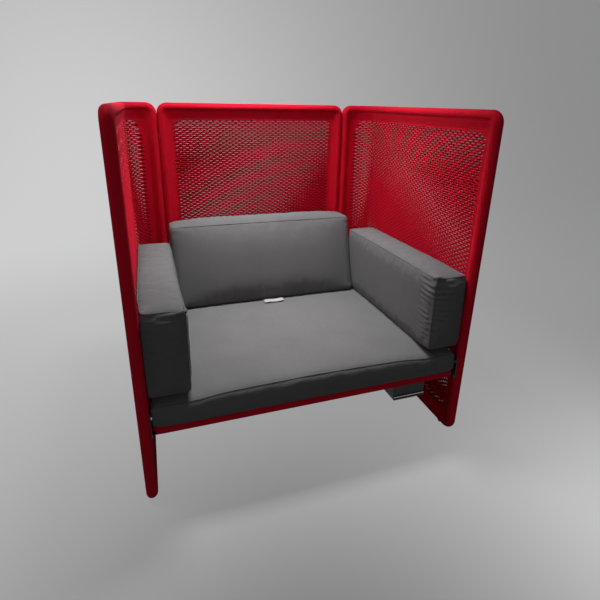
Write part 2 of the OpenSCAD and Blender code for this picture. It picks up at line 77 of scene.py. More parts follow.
class ChairSizes(bpy.types.PropertyGroup):
    """Sizes of the screens and cushions, in metres."""
    rim: bpy.props.FloatProperty(
        name="Rim", description="Thickness of a screen's padded rim", default=0.04, unit="LENGTH")
    rim_bend: bpy.props.FloatProperty(
        name="Rim bend", description="Radius of the rim's centre line at a screen's corners",
        default=0.028, unit="LENGTH")
    plan_bend: bpy.props.FloatProperty(
        name="Plan bend", description="Radius of the side screens' bend, at the middle of the rim",
        default=0.1, unit="LENGTH")
    side_border: bpy.props.FloatProperty(
        name="Side border", description="Plain knit from the back screen's posts to its net",
        default=0.038, unit="LENGTH")
    front_border: bpy.props.FloatProperty(
        name="Front border", description="Plain knit from a side screen's front post to its net",
        default=0.027, unit="LENGTH")
    top_border: bpy.props.FloatProperty(
        name="Top border", description="Plain knit from the top tube to the net",
        default=0.052, unit="LENGTH")
    rear_border: bpy.props.FloatProperty(
        name="Rear border", description="Plain knit from a side screen's rear post to its net",
        default=0.028, unit="LENGTH")
    rear_plain: bpy.props.FloatProperty(
        name="Rear plain", description="Distance from the rear post to the first slits",
        default=0.050, unit="LENGTH")
    field_bend: bpy.props.FloatProperty(
        name="Field bend", description="Corner radius of the net's field",
        default=0.022, unit="LENGTH")
    rear_field_bend: bpy.props.FloatProperty(
        name="Rear field bend", description="Corner radius of the side nets' field at the rear",
        default=0.062, unit="LENGTH")
    drift: bpy.props.FloatProperty(
        name="Drift", description="How far the outer net's rows wander from the inner net's",
        default=0.007, unit="LENGTH")
    relief: bpy.props.FloatProperty(
        name="Relief", description="How far a strand of net bulges", default=0.0014, unit="LENGTH")
    layer_gap: bpy.props.FloatProperty(
        name="Layer gap", description="Distance between the two layers of net",
        default=0.016, unit="LENGTH")
    slit_length: bpy.props.FloatProperty(
        name="Slit length", description="Length of a slit in the net", default=0.027, unit="LENGTH")
    slit_height: bpy.props.FloatProperty(
        name="Slit height", description="Height of a slit in the inner net",
        default=0.0062, unit="LENGTH")
    outer_slit_height: bpy.props.FloatProperty(
        name="Outer slit height", description="Height of a slit in the outer net",
        default=0.0013, unit="LENGTH")
    slit_pitch: bpy.props.FloatProperty(
        name="Slit pitch", description="Distance between slits along a row",
        default=0.032, unit="LENGTH")
    row_pitch: bpy.props.FloatProperty(
        name="Row pitch", description="Distance between a net's rows of slits",
        default=0.0094, unit="LENGTH")
    cloth_step: bpy.props.FloatProperty(
        name="Cloth step", description="Size of a cushion cloth's faces while it is filled",
        default=0.0105, unit="LENGTH")
    seat_edge: bpy.props.FloatProperty(
        name="Seat edge", description="Rounding of the seat cushion's sewn edges",
        default=0.016, unit="LENGTH")
    arm_edge: bpy.props.FloatProperty(
        name="Arm edge", description="Rounding of the arm cushions' sewn edges",
        default=0.010, unit="LENGTH")
    back_edge: bpy.props.FloatProperty(
        name="Back edge", description="Rounding of the back cushion's sewn edges",
        default=0.013, unit="LENGTH")
    crown: bpy.props.FloatProperty(
        name="Crown", description="Rise of a cushion's top in the middle",
        default=0.008, unit="LENGTH")
    welt: bpy.props.FloatProperty(
        name="Welt", description="Radius of the seams' rolled cloth", default=0.0022, unit="LENGTH")
    back_lean: bpy.props.FloatProperty(
        name="Back lean", description="Lean of the back cushion's front from square to the seat",
        default=math.radians(16), subtype="ANGLE")


class ChairColours(bpy.types.PropertyGroup):
    """Colours of the knit, the cloth and the stage."""
    knit: bpy.props.FloatVectorProperty(
        name="Knit", description="Red of the screens", subtype="COLOR", size=3,
        default=(0.74, 0.006, 0.028), min=0, max=1)
    knit_shade: bpy.props.FloatVectorProperty(
        name="Knit shade", description="Darker red between the stitches", subtype="COLOR", size=3,
        default=(0.43, 0.0025, 0.013), min=0, max=1)
    cloth: bpy.props.FloatVectorProperty(
        name="Cloth", description="Grey of the cushions", subtype="COLOR", size=3,
        default=(0.150, 0.150, 0.152), min=0, max=1)
    cloth_shade: bpy.props.FloatVectorProperty(
        name="Cloth shade", description="Darker grey between the threads", subtype="COLOR", size=3,
        default=(0.084, 0.084, 0.086), min=0, max=1)
    floor: bpy.props.FloatVectorProperty(
        name="Floor", description="Pale floor", subtype="COLOR", size=3,
        default=(0.55, 0.55, 0.56), min=0, max=1)


def sizes():
    return bpy.context.scene.chair_sizes


def colours():
    return bpy.context.scene.chair_colours


# Shader maths

class Wire:
    """A socket of a material's node tree that can be used in sums."""

    def __init__(self, shop, socket):
        self.shop = shop
        self.socket = socket

    def math(self, operation, *others):
        return self.shop.node("ShaderNodeMath", {"operation": operation}, [self, *others])

    def __add__(self, other):
        return self.math("ADD", other)

    __radd__ = __add__

    def __sub__(self, other):
        return self.math("SUBTRACT", other)

    def __rsub__(self, other):
        return self.shop.node("ShaderNodeMath", {"operation": "SUBTRACT"}, [other, self])

    def __mul__(self, other):
        return self.math("MULTIPLY", other)

    __rmul__ = __mul__

    def sine(self):
        return self.math("SINE")

    def clamped(self):
        return self.math("MAXIMUM", 0.0).math("MINIMUM", 1.0)


class Finish:
    """A procedural material with one surface shader."""

    def __init__(self, name, **shader_values):
        self.material = bpy.data.materials.new(name)
        self.material.use_nodes = True
        self.tree = self.material.node_tree
        self.shader = self.tree.nodes["Principled BSDF"]
        for socket, value in shader_values.items():
            self.shader.inputs[socket.replace("_", " ")].default_value = value

    def node(self, kind, settings=None, sockets=None, output=0):
        """Adds a node: its settings first, then the values or links of its sockets."""
        made = self.tree.nodes.new(kind)
        for key, value in (settings or {}).items():
            setattr(made, key, value)
        pairs = sockets.items() if isinstance(sockets, dict) else enumerate(sockets or [])
        for key, value in pairs:
            if isinstance(value, Wire):
                self.tree.links.new(value.socket, made.inputs[key])
            else:
                made.inputs[key].default_value = value
        return Wire(self, made.outputs[output])

    def axes(self):
        """Position on the object in metres, as three wires."""
        place = self.node("ShaderNodeTexCoord", output="Object")
        split = self.node("ShaderNodeSeparateXYZ", {}, [place])
        return [Wire(self, socket) for socket in split.socket.node.outputs]

    def noise(self, scale, detail=2.0, roughness=0.5, stretch=(1, 1, 1)):
        place = self.node("ShaderNodeTexCoord", output="Object")
        where = self.node("ShaderNodeMapping", {}, {"Vector": place, "Scale": stretch})
        return self.node("ShaderNodeTexNoise", {}, {
            "Vector": where, "Scale": scale, "Detail": detail, "Roughness": roughness})

    def mix(self, share, first, second):
        """Mixes two colours: a mix node has its colours at sockets 6 and 7, and at output 2."""
        return self.node("ShaderNodeMix", {"data_type": "RGBA"},
                         {0: share, 6: first, 7: second}, output=2)

    def set(self, socket, wire):
        self.tree.links.new(wire.socket, self.shader.inputs[socket])

    def bump(self, height, distance, strength):
        self.set("Normal", self.node("ShaderNodeBump", {}, {
            "Strength": strength, "Distance": distance, "Height": height}))


def opaque(colour, share=1.0):
    """A colour as a socket takes it, darkened to a share."""
    return (*(channel * share for channel in colour), 1)


def knit_finish(name, ribs, sheen, painted_shade_share=1.0):
    """Fine knit: wales and courses as bump, stitches as a shift of colour, and a soft bloom. The
    last argument darkens both reds to a share, as painted shade.
    """
    finish = Finish(name, Roughness=0.78, Sheen_Weight=sheen, Sheen_Roughness=0.3,
                    Sheen_Tint=(1.0, 0.14, 0.2, 1), Specular_IOR_Level=0.08)
    x, y, z = finish.axes()
    courses = (z * (math.tau / ribs)).sine()
    wales = ((x + y) * (math.tau / ribs)).sine()
    stitch = courses * wales
    fibre = finish.noise(scale=900, detail=3, roughness=0.6)
    cloud = finish.noise(scale=7, detail=3, roughness=0.55)
    shade = (stitch * 0.22 + fibre * 0.5 + cloud * 0.55 - 0.28).clamped()
    # Painted shade: a share below 1 darkens both reds for a layer that lies in shadow
    finish.set("Base Color", finish.mix(shade, opaque(colours().knit, painted_shade_share),
                                        opaque(colours().knit_shade, painted_shade_share)))
    finish.set("Roughness", 0.7 + 0.2 * fibre)
    finish.bump(stitch * 0.6 + fibre * 0.8, distance=0.0006, strength=0.7)
    return finish.material


def cloth_finish(name, thread):
    """Close plain weave in grey, with thread slubs and a little bloom."""
    finish = Finish(name, Roughness=0.85, Sheen_Weight=0.06, Sheen_Roughness=0.5,
                    Specular_IOR_Level=0.12)
    x, y, z = finish.axes()
    step = math.tau / thread
    warp = ((x + 0.35 * z) * step).sine()
    weft = ((y + 0.8 * z) * step).sine()
    weave = warp * weft
    slub = finish.noise(scale=260, detail=3, roughness=0.6, stretch=(1, 0.25, 1))
    cloud = finish.noise(scale=5, detail=4, roughness=0.6)
    shade = (weave * 0.12 + slub * 0.55 + cloud * 0.6 - 0.32).clamped()
    finish.set("Base Color",
               finish.mix(shade, opaque(colours().cloth), opaque(colours().cloth_shade)))
    finish.set("Roughness", 0.78 + 0.16 * slub)
    finish.bump(weave * 0.5 + slub * 0.9, distance=0.0005, strength=0.55)
    return finish.material


def seam_finish(name):
    """The cushions' cloth rolled tight over a seam, painted a little darker as shade along the
    seam.
    """
    finish = Finish(name, Roughness=0.88, Sheen_Weight=0.1)
    twill = finish.noise(scale=420, detail=2, roughness=0.6)
    # Painted shade: both colours lie below the cushions' cloth, for the shadow along the seam
    finish.set("Base Color",
               finish.mix(twill, opaque(colours().cloth_shade), (0.10, 0.10, 0.104, 1)))
    finish.bump(twill, distance=0.0004, strength=0.6)
    return finish.material


def metal_finish(name, colour, roughness, metallic):
    """Plated or coated metal with faint brushing and handling marks."""
    finish = Finish(name, Metallic=metallic)
    marks = finish.noise(scale=60, detail=4, roughness=0.6)
    grain = finish.noise(scale=900, detail=2, roughness=0.5, stretch=(1, 1, 0.08))
    finish.set("Base Color", finish.mix(marks, opaque(colour), opaque(colour, 0.75)))
    finish.set("Roughness", roughness - 0.1 + 0.2 * marks)
    finish.bump(grain, distance=0.00015, strength=0.35)
    return finish.material


def plastic_finish(name, colour):
    """Moulded plastic with a fine grain."""
    finish = Finish(name, Specular_IOR_Level=0.4)
    grain = finish.noise(scale=1400, detail=2, roughness=0.5)
    wear = finish.noise(scale=14, detail=3, roughness=0.6)
    finish.set("Base Color", finish.mix(wear, opaque(colour), opaque(colour, 1.6)))
    finish.set("Roughness", 0.42 + 0.2 * wear)
    finish.bump(grain, distance=0.0002, strength=0.5)
    return finish.material


def tag_finish(name, rib):
    """Bare white ribbon."""
    finish = Finish(name, Roughness=0.7)
    ribs = (finish.axes()[0] * (math.tau / rib)).sine()
    soil = finish.noise(scale=30, detail=3, roughness=0.6)
    finish.set("Base Color", finish.mix(soil, (0.42, 0.42, 0.41, 1), (0.33, 0.33, 0.33, 1)))
    finish.bump(ribs, distance=0.0002, strength=0.5)
    return finish.material


# Each finish: the function that makes it, and its values
MAKERS = {
    "rim_knit": (knit_finish, {"ribs": 0.0032, "sheen": 0.16}),
    "net_knit": (knit_finish, {"ribs": 0.0030, "sheen": 0.08}),
    # The outer net: the same knit darkened to 0.45 and without sheen, painted shade for the shadow
    # between the two layers
    "shaded_net_knit": (knit_finish, {"ribs": 0.0030, "sheen": 0.0, "painted_shade_share": 0.45}),
    "grey_cloth": (cloth_finish, {"thread": 0.0021}),
    "seam_cloth": (seam_finish, {}),
    "zinc": (metal_finish, {"colour": (0.62, 0.61, 0.60), "roughness": 0.32, "metallic": 1.0}),
    "black_coat": (metal_finish,
                   {"colour": (0.022, 0.022, 0.018), "roughness": 0.48, "metallic": 0.0}),
    "strip_metal": (metal_finish,
                    {"colour": (0.55, 0.50, 0.47), "roughness": 0.38, "metallic": 1.0}),
    "black_plastic": (plastic_finish, {"colour": (0.012, 0.013, 0.012)}),
    "white_ribbon": (tag_finish, {"rib": 0.0012}),
}
FINISHES = {}


def finish(name):
    """Makes each finish once, when first used."""
    if name not in FINISHES:
        maker, values = MAKERS[name]
        FINISHES[name] = maker(name, **values)
    return FINISHES[name]


# Mesh helpers

def add_piece(name, points, faces, material, body):
    """A smooth mesh at the origin that rides on a body."""
    mesh = bpy.data.meshes.new(name)
    mesh.from_pydata([tuple(p) for p in points], [], faces)
    mesh.update()
    mesh.polygons.foreach_set("use_smooth", [True] * len(mesh.polygons))
    piece = bpy.data.objects.new(name, mesh)
    bpy.context.collection.objects.link(piece)
    piece.data.materials.append(finish(material))
    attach(piece, body)
    return piece


def ease(value, start=0.0, length=1.0):
    """Smooth step from 0 at start to 1 a length further on, which may be a negative one."""
    t = max(0.0, min(1.0, (value - start) / length))
    return t * t * (3 - 2 * t)


# Screens: each is drawn flat, u along it from its first post, v up from its foot, n off its plane

class Screen:
    """One screen: the size between its tubes' centre lines and how its plane bends in plan."""

    def __init__(self, name):
        s = sizes()
        self.name = name
        self.foot = RIM_LOW.z + s.rim / 2
        self.height = RIM_HIGH.z - s.rim / 2 - self.foot
        if name == "back":
            self.bend, self.width = back_bend(s)
            self.near_border = self.far_border = self.far_plain = s.side_border
            self.far_bend = s.field_bend
        else:
            self.bend, self.width = side_bend(s, name == "left")
            self.near_border, self.far_border = s.front_border, s.rear_border
            self.far_plain, self.far_bend = s.rear_plain, s.rear_field_bend

    def point(self, u, v, n):
        return self.bend(u, n) + Vector((0, 0, self.foot + v))


def side_bend(s, mirror):
    """Plan and length of a side screen: from its front post, round the bend, to its rear post."""
    turn_r = s.plan_bend
    middle_x = RIM_HIGH.x - s.rim / 2
    front_y = RIM_LOW.y + s.rim / 2
    back_y = RIM_HIGH.y - s.rim / 2
    straight = back_y - turn_r - front_y
    arc = turn_r * math.pi / 2

    def bend(u, n):
        if u < straight:
            place = Vector((middle_x + n, front_y + u, 0))
        elif u < straight + arc:
            turn = (u - straight) / turn_r
            place = Vector((middle_x - turn_r + (turn_r + n) * math.cos(turn),
                            back_y - turn_r + (turn_r + n) * math.sin(turn), 0))
        else:
            place = Vector((middle_x - turn_r - (u - straight - arc), back_y + n, 0))
        return Vector((-place.x if mirror else place.x, place.y, 0))

    rear = middle_x - turn_r - (RIM_LOW.x + s.rim / 2)
    return bend, straight + arc + rear


def back_bend(s):
    """Plan and length of the back screen: straight from its left post to its right post."""
    half_rim = s.rim / 2

    def bend(u, n):
        return Vector((BACK_LOW.x + half_rim + u, BACK_HIGH.y - half_rim + n, 0))

    return bend, BACK_HIGH.x - BACK_LOW.x - s.rim


def rounded_loop(left, right, low, high, low_radius, high_radius, corner_steps, side_steps):
    """Points round a rectangle with round corners: place, outward direction, share of its side."""
    corners = [(right - low_radius, low + low_radius, low_radius, -90),
               (right - high_radius, high - high_radius, high_radius, 0),
               (left + high_radius, high - high_radius, high_radius, 90),
               (left + low_radius, low + low_radius, low_radius, 180)]
    points = []
    for k, (x, y, radius, start) in enumerate(corners):
        for i in range(corner_steps + 1):
            turn = math.radians(start + 90 * i / corner_steps)
            out = Vector((math.cos(turn), math.sin(turn)))
            points.append((Vector((x, y)) + out * radius, out, 0.0))
        next_x, next_y, next_radius, _ = corners[(k + 1) % 4]
        begin, end = points[-1][0], Vector((next_x, next_y)) + out * next_radius
        count = side_steps[k % 2]
        points += [(begin.lerp(end, i / count), out, i / count) for i in range(1, count)]
    return points


TOUCH = 0.0002  # how far a skin stands off its CAD solid
RIM_SPANS_UP, RIM_SPANS_ALONG = 0.03, 0.012  # longest faces up a post and along a tube
RIM_LEAVE = math.radians(128)  # turn round the rim at which the sloped knit leaves it
RIM_ARCS, WRAP_STEPS, SLOPE_STEPS = 8, 24, 6


def make_rim(screen):
    """Padded rim and the plain knit that slopes from it down to the two nets, as one skin."""
    s = sizes()
    radius = s.rim / 2 + TOUCH
    steps = (max(8, round(screen.height / RIM_SPANS_UP)),
             max(8, round(screen.width / RIM_SPANS_ALONG)))
    outer = rounded_loop(0, screen.width, 0, screen.height, s.rim_bend, s.rim_bend,
                         RIM_ARCS, steps)
    inner = rounded_loop(screen.near_border, screen.width - screen.far_border, s.top_border,
                         screen.height - s.top_border, s.field_bend, s.field_bend,
                         RIM_ARCS, steps)
    # Each step of the section: along the slope, on one side, round the rim, along the other slope
    section = [(k / SLOPE_STEPS, 1) for k in range(SLOPE_STEPS, 0, -1)]
    section += [(RIM_LEAVE - 2 * RIM_LEAVE * k / WRAP_STEPS, 0) for k in range(WRAP_STEPS + 1)]
    section += [(k / SLOPE_STEPS, -1) for k in range(1, SLOPE_STEPS + 1)]
    rise = radius * math.sin(RIM_LEAVE)
    points = []
    for (centre, out, _), (edge, _, _) in zip(outer, inner):
        root = centre + out * (radius * math.cos(RIM_LEAVE))
        for t, face in section:
            if face == 0:
                flat = centre + out * (radius * math.cos(t))
                lift = radius * math.sin(t)
            else:
                flat = root.lerp(edge, t)
                lift = face * (rise + (s.layer_gap / 2 - rise) * (0.65 * t + 0.35 * ease(t)))
            points.append(screen.point(flat.x, flat.y, lift))
    ring, count = len(section), len(outer)
    faces = []
    for i in range(count):
        for k in range(ring - 1):
            a, b = i * ring + k, (i + 1) % count * ring + k
            quad = (a, b, b + 1, a + 1)
            faces.append(quad if screen.name == "left" else quad[::-1])
    piece = add_piece(f"{screen.name}_rim_skin", points, faces, "rim_knit", "frame")
    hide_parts(f"{screen.name}_screen_rim")


FIELD_MARGIN = 0.006  # plain net between the border and the nearest slits, above and below
NEAR_MARGIN = 0.004  # the same at the first post
TUCK_HIGH, TUCK_NEAR, TUCK_FAR = 0.012, 0.008, 0.006  # how far a net runs on behind the border
SLIT_PARTS = 6  # faces along one slit pitch
HELD_SHARE = 1 / 6  # share of the net's height in which its edge holds the rows level
# How far the outer rows hang below the inner ones, as a view from above sees through both
ROW_SINK = {"left": 0.0042, "back": 0.0024, "right": 0.0042}


class Net:
    """One layer of net: rows of slits in brick order, and where in the screen they are open."""

    def __init__(self, screen, face):
        s = sizes()
        self.screen = screen
        self.face = face
        self.slit_pitch, self.slit_length = s.slit_pitch, s.slit_length
        self.slit_height = s.outer_slit_height if face > 0 else s.slit_height
        self.row_pitch, self.relief, self.drift = s.row_pitch, s.relief, s.drift
        self.near_bend = s.field_bend
        self.offset = face * s.layer_gap / 2
        self.shift = s.slit_pitch * 0.25 if face > 0 else 0.0
        self.field_low = s.top_border + FIELD_MARGIN
        self.field_high = screen.height - s.top_border - FIELD_MARGIN
        self.low = s.top_border - TUCK_HIGH
        self.high = screen.height - s.top_border + TUCK_HIGH
        self.left = screen.near_border - TUCK_NEAR
        self.right = screen.width - screen.far_border + TUCK_FAR
        self.step = s.slit_pitch / SLIT_PARTS
        self.rows = math.floor((self.high - self.low) / self.row_pitch)
        self.columns = math.ceil((self.right - self.left) / self.step)

    def is_open(self, middle, v):
        """Whether a whole slit fits in the net's round-cornered field."""
        half = self.slit_length / 2
        near = self.screen.near_border + NEAR_MARGIN + half
        far = self.screen.width - self.screen.far_plain - half
        low, high = self.field_low, self.field_high
        if not near < middle < far or not low < v < high:
            return False
        bend = self.near_bend if middle < (near + far) / 2 else self.screen.far_bend
        dx = max(near - middle, middle - far, -bend) + bend
        dy = max(low - v, v - high, -bend) + bend
        return dx * dx + dy * dy < bend * bend

    def half_gap(self, u, row):
        """Half the height of the slit at a place along a row, or nothing between slits."""
        offset = self.left + self.shift + (self.slit_pitch / 2 if row % 2 else 0.0)
        middle = round((u - offset) / self.slit_pitch) * self.slit_pitch + offset
        share = abs(u - middle) / (self.slit_length / 2)
        if share >= 1 or not self.is_open(middle, self.low + row * self.row_pitch):
            return 0.0
        return self.slit_height / 2 * (1 - share * share)

    def wander(self, u, v):
        """Drift and sink of the outer layer's rows, none at the net's low and high edges."""
        if self.face < 0:
            return 0.0
        across = (u - self.left) / (self.right - self.left)
        up = (v - self.low) / (self.high - self.low)
        free = min(1.0, up / HELD_SHARE, (1 - up) / HELD_SHARE)
        return (self.drift * (across - 0.5) - ROW_SINK[self.screen.name]) * free

    def build(self):
        """Vertices and faces: a strand lies between two rows, thin at the slits."""
        points, index, faces = [], {}, []

        def corner(column, row, side):
            u = min(self.left + column * self.step, self.right)
            gap = self.half_gap(u, row)
            key = (column, row, side if gap > 0 else 0)
            if key not in index:
                index[key] = len(points)
                v = self.low + row * self.row_pitch
                v += side * gap + self.wander(u, v)
                points.append(self.screen.point(u, v, self.offset))
            return index[key]

        def crest(column, row):
            u = min(self.left + column * self.step, self.right)
            key = (column, row, "crest")
            if key not in index:
                index[key] = len(points)
                v = self.low + (row + 0.5) * self.row_pitch
                lift = self.relief if self.is_open(u, v) else 0.0
                v += (self.half_gap(u, row) - self.half_gap(u, row + 1)) / 2 + self.wander(u, v)
                points.append(self.screen.point(u, v, self.offset - lift))
            return index[key]

        flip = (self.face > 0) == (self.screen.name == "left")
        for row in range(self.rows):
            for column in range(self.columns):
                lower = [corner(column, row, 1), corner(column + 1, row, 1)]
                middle = [crest(column, row), crest(column + 1, row)]
                upper = [corner(column, row + 1, -1), corner(column + 1, row + 1, -1)]
                for a, b in ((lower, middle), (middle, upper)):
                    quad = (a[0], a[1], b[1], b[0])
                    faces.append(quad[::-1] if flip else quad)
        return points, faces


def make_net(screen, face):
    """One layer of a screen's net: face is -1 for the inner and 1 for the outer layer."""
    net = Net(screen, face)
    points, faces = net.build()
    # The outer layer takes the knit painted darker, as shade
    side, material = ("outer", "shaded_net_knit") if face > 0 else ("inner", "net_knit")
    piece = add_piece(f"{screen.name}_{side}_net_skin", points, faces, material,
                      "frame")
    replaced = [f"{screen.name}_net_{side}"]
    if screen.name != "back":
        replaced.append(f"{screen.name}_corner_net_{side}")
    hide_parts(*replaced)
    flat = (net.columns * net.step, net.rows * net.row_pitch)
    area = sum(p.area for p in piece.data.polygons)
    min(area, flat[0] * flat[1])


# Cushions: each is drawn on its own foot, in the seat's tilted frame

CORNER_ARCS = 6  # faces round a corner of the plan
SIDE_SPANS = 22  # faces along a side of the plan
EDGE_ARCS, BORDER_SPANS = 5, 10  # faces round a sewn edge and up the border
TOP_RINGS = (0.97, 0.93, 0.88, 0.8, 0.7, 0.55, 0.35, 0.15)  # shares of the plan over the top
UPRIGHT_SPANS = 30
PULL_IN = 0.002  # how far the seams draw in at the middle of a side


class Cushion:
    """A cushion's place and sizes, read from its CAD node, and the shape of its edges.

    edge rounds the sewn edges, near_corner and far_corner are radii in plan, inset shrinks the
    plan, swell is how far the sides bulge and curve how squarely, dome is the top's rise, give
    is how far the cloth fills out, relax smooths it and coarse enlarges its faces.
    """

    def __init__(self, node, edge, near_corner, far_corner, inset, swell, dome, curve, give, relax,
                 lean=0.0, coarse=1.0):
        self.node = node
        self.edge, self.near_corner, self.far_corner = edge, near_corner, far_corner
        self.swell, self.dome, self.curve = Vector(swell), dome, curve
        self.give, self.relax, self.lean, self.coarse = give, relax, lean, coarse
        low, high = cad(node)
        middle = TILT.inverted() @ ((low + high) / 2 - SEAT_ORIGIN)
        span = high - low
        cos, sin = math.cos(SEAT_TILT), math.sin(SEAT_TILT)
        depth = (span.y * cos - span.z * sin) / (cos * cos - sin * sin)
        height = (span.z * cos - span.y * sin) / (cos * cos - sin * sin)
        crown = sizes().crown
        drop = math.tan(lean) * (height - crown)
        inset_x, inset_y = inset
        self.size = Vector((span.x - 2 * inset_x, depth - drop - 2 * inset_y, height - crown))
        self.foot = Vector((middle.x, middle.y - drop / 2, middle.z - height / 2))

    def settle(self, p):
        """From the cushion's own frame to the world."""
        leant = Vector((p.x, p.y + math.tan(self.lean) * p.z, p.z))
        return SEAT_ORIGIN + TILT @ (self.foot + leant)

    def path(self):
        """Points round the plan: place, outward direction and nearness to a side's middle."""
        half_w, half_d = self.size.x / 2, self.size.y / 2
        loop = rounded_loop(-half_w, half_w, -half_d, half_d, self.near_corner, self.far_corner,
                            CORNER_ARCS, (SIDE_SPANS, SIDE_SPANS))
        return [(place, out, 1 - (2 * t - 1) ** 4) for place, out, t in loop]

    def rings(self):
        """Inset, height, share of the plan and place up the border of each ring, foot first."""
        edge, top = self.edge, self.size.z
        quarter = [math.radians(90 * i / EDGE_ARCS) for i in range(EDGE_ARCS + 1)]
        rings = [(edge * (1 - math.sin(t)), edge * (1 - math.cos(t)), 1.0, -1.0) for t in quarter]
        for i in range(1, BORDER_SPANS):
            t = i / BORDER_SPANS
            rings.append((0.0, edge + t * (top - 2 * edge), 1.0, 2 * t - 1))
        rings += [(edge * (1 - math.cos(t)), top - edge * (1 - math.sin(t)), 1.0, 1.0)
                  for t in quarter]
        rings += [(edge, top + self.dome * (1 - share ** 4), share, 1.0) for share in TOP_RINGS]
        return rings

    def shell(self):
        """Points and faces of the crowned cushion before it is filled."""
        path, rings = self.path(), self.rings()
        points = []
        for inset, z, share, up in rings:
            flatness = abs(up) ** self.curve
            for place, out, mid in path:
                full = abs(out.x) * self.swell.x + abs(out.y) * self.swell.y
                shift = mid * (full * (1 - flatness) - PULL_IN * flatness) - inset
                flat = (place + out * shift) * share
                points.append(Vector((flat.x, flat.y, z)))
        count = len(path)
        faces = []
        for j in range(len(rings) - 1):
            for i in range(count):
                a, b = j * count + i, j * count + (i + 1) % count
                faces.append((a, b, b + count, a + count))
        faces.append(tuple(reversed(range(count))))
        faces.append(tuple(range((len(rings) - 1) * count, len(rings) * count)))
        return points, faces

    def seam(self, level):
        """A seam's line round the cushion along its top edge, or its bottom edge below 0."""
        inset = self.edge * (1 - math.sqrt(0.5))
        z = self.size.z - inset if level > 0 else inset
        return [Vector((*(place - out * (inset + PULL_IN * mid)), z))
                for place, out, mid in self.path()]

    def upright(self, corner):
        """A seam up one corner, between the bottom and the top seam."""
        pick = corner * (CORNER_ARCS + SIDE_SPANS) + CORNER_ARCS // 2
        low, high = self.seam(-1)[pick], self.seam(1)[pick]
        return [low.lerp(high, i / UPRIGHT_SPANS) for i in range(UPRIGHT_SPANS + 1)]


def welt(points, radius, closed):
    """Tube round a line: its points and faces."""
    around = 6
    made, faces = [], []
    count = len(points)
    for i, p in enumerate(points):
        before = points[i - 1] if closed or i > 0 else p
        after = points[(i + 1) % count] if closed or i < count - 1 else p
        along = (after - before).normalized()
        side = along.cross(Vector((0, 0, 1)))
        if side.length < 0.1:
            side = along.cross(Vector((0, 1, 0)))
        side.normalize()
        up = side.cross(along)
        for k in range(around):
            turn = math.tau * k / around
            made.append(p + (side * math.cos(turn) + up * math.sin(turn)) * radius)
    for i in range(count if closed else count - 1):
        ring, following = i * around, (i + 1) % count * around
        for k in range(around):
            beside = (k + 1) % around
            faces.append((ring + k, ring + beside, following + beside, following + k))
    return made, faces


CLOTH_SETTINGS = {
    "quality": 4, "mass": 0.35, "tension_stiffness": 18, "compression_stiffness": 14,
    "shear_stiffness": 6, "bending_stiffness": 1.5, "shrink_min": -0.010,
    "use_pressure": True, "uniform_pressure_force": 4.0, "vertex_group_mass": "seams",
}
FILL_FRAMES = 20
FOOT_BAND = 0.006  # how far above the foot the cloth is held


def puff(piece, give, pinned):
    """Cloth simulation with air inside: the panels fill out between the pinned seams."""
    scene = bpy.context.scene
    rest = [v.co.copy() for v in piece.data.vertices]
    group = piece.vertex_groups.new(name="seams")
    group.add(pinned, 1.0, "REPLACE")
    cloth = piece.modifiers.new("filling", "CLOTH")
    for key, value in CLOTH_SETTINGS.items():
        setattr(cloth.settings, key, value)
    cloth.settings.effector_weights.gravity = 0
    cloth.collision_settings.use_collision = False
    cloth.point_cache.frame_start = 1
    cloth.point_cache.frame_end = FILL_FRAMES
    for step in range(1, FILL_FRAMES + 1):
        scene.frame_set(step)
    evaluated = piece.evaluated_get(bpy.context.evaluated_depsgraph_get())
    moved = [v.co.copy() for v in evaluated.data.vertices]
    piece.modifiers.remove(cloth)
    piece.vertex_groups.clear()
    for vertex, place, before in zip(piece.data.vertices, moved, rest):
        move = place - before
        vertex.co = before + move * min(1.0, give / max(move.length, 1e-9))
    scene.frame_set(1)


def keep(piece, modifier):
    """Makes what a modifier does the piece's own mesh."""
    evaluated = piece.evaluated_get(bpy.context.evaluated_depsgraph_get())
    piece.data = bpy.data.meshes.new_from_object(evaluated)
    piece.modifiers.remove(modifier)


def nearest(points):
    """A search tree of points."""
    tree = KDTree(len(points))
    for i, p in enumerate(points):
        tree.insert(p, i)
    tree.balance()
    return tree


def fill(piece, cushion, lines):
    """Even cloth over the shell, pinned along the seams and under the foot, then puffed."""
    step = sizes().cloth_step * cushion.coarse
    work = bmesh.new()
    work.from_mesh(piece.data)
    bmesh.ops.triangulate(work, faces=work.faces[:])
    work.to_mesh(piece.data)
    work.free()
    even = piece.modifiers.new("even", "REMESH")
    even.mode = "VOXEL"
    even.voxel_size = step
    keep(piece, even)
    stitches = nearest([p for line in lines for p in line])
    up = TILT @ Vector((0, 0, 1))
    foot = up.dot(cushion.settle(Vector((0, 0, 0)))) + FOOT_BAND
    pinned = [v.index for v in piece.data.vertices
              if stitches.find(v.co)[2] < step or up.dot(v.co) < foot]
    puff(piece, cushion.give, pinned)
    fine = piece.modifiers.new("fine", "SUBSURF")
    fine.levels = 1
    keep(piece, fine)


FOLD_STRAY, FOLD_STRAY_SCALE = 2.6, 11  # how far folds stray from an even row, and how finely
FOLD_LEAST, FOLD_SPREAD, FOLD_SCALE = 0.5, 0.9, 6  # depths between folds, and how finely they vary
SEAM_CALM = 0.010  # the folds start this far from their seam


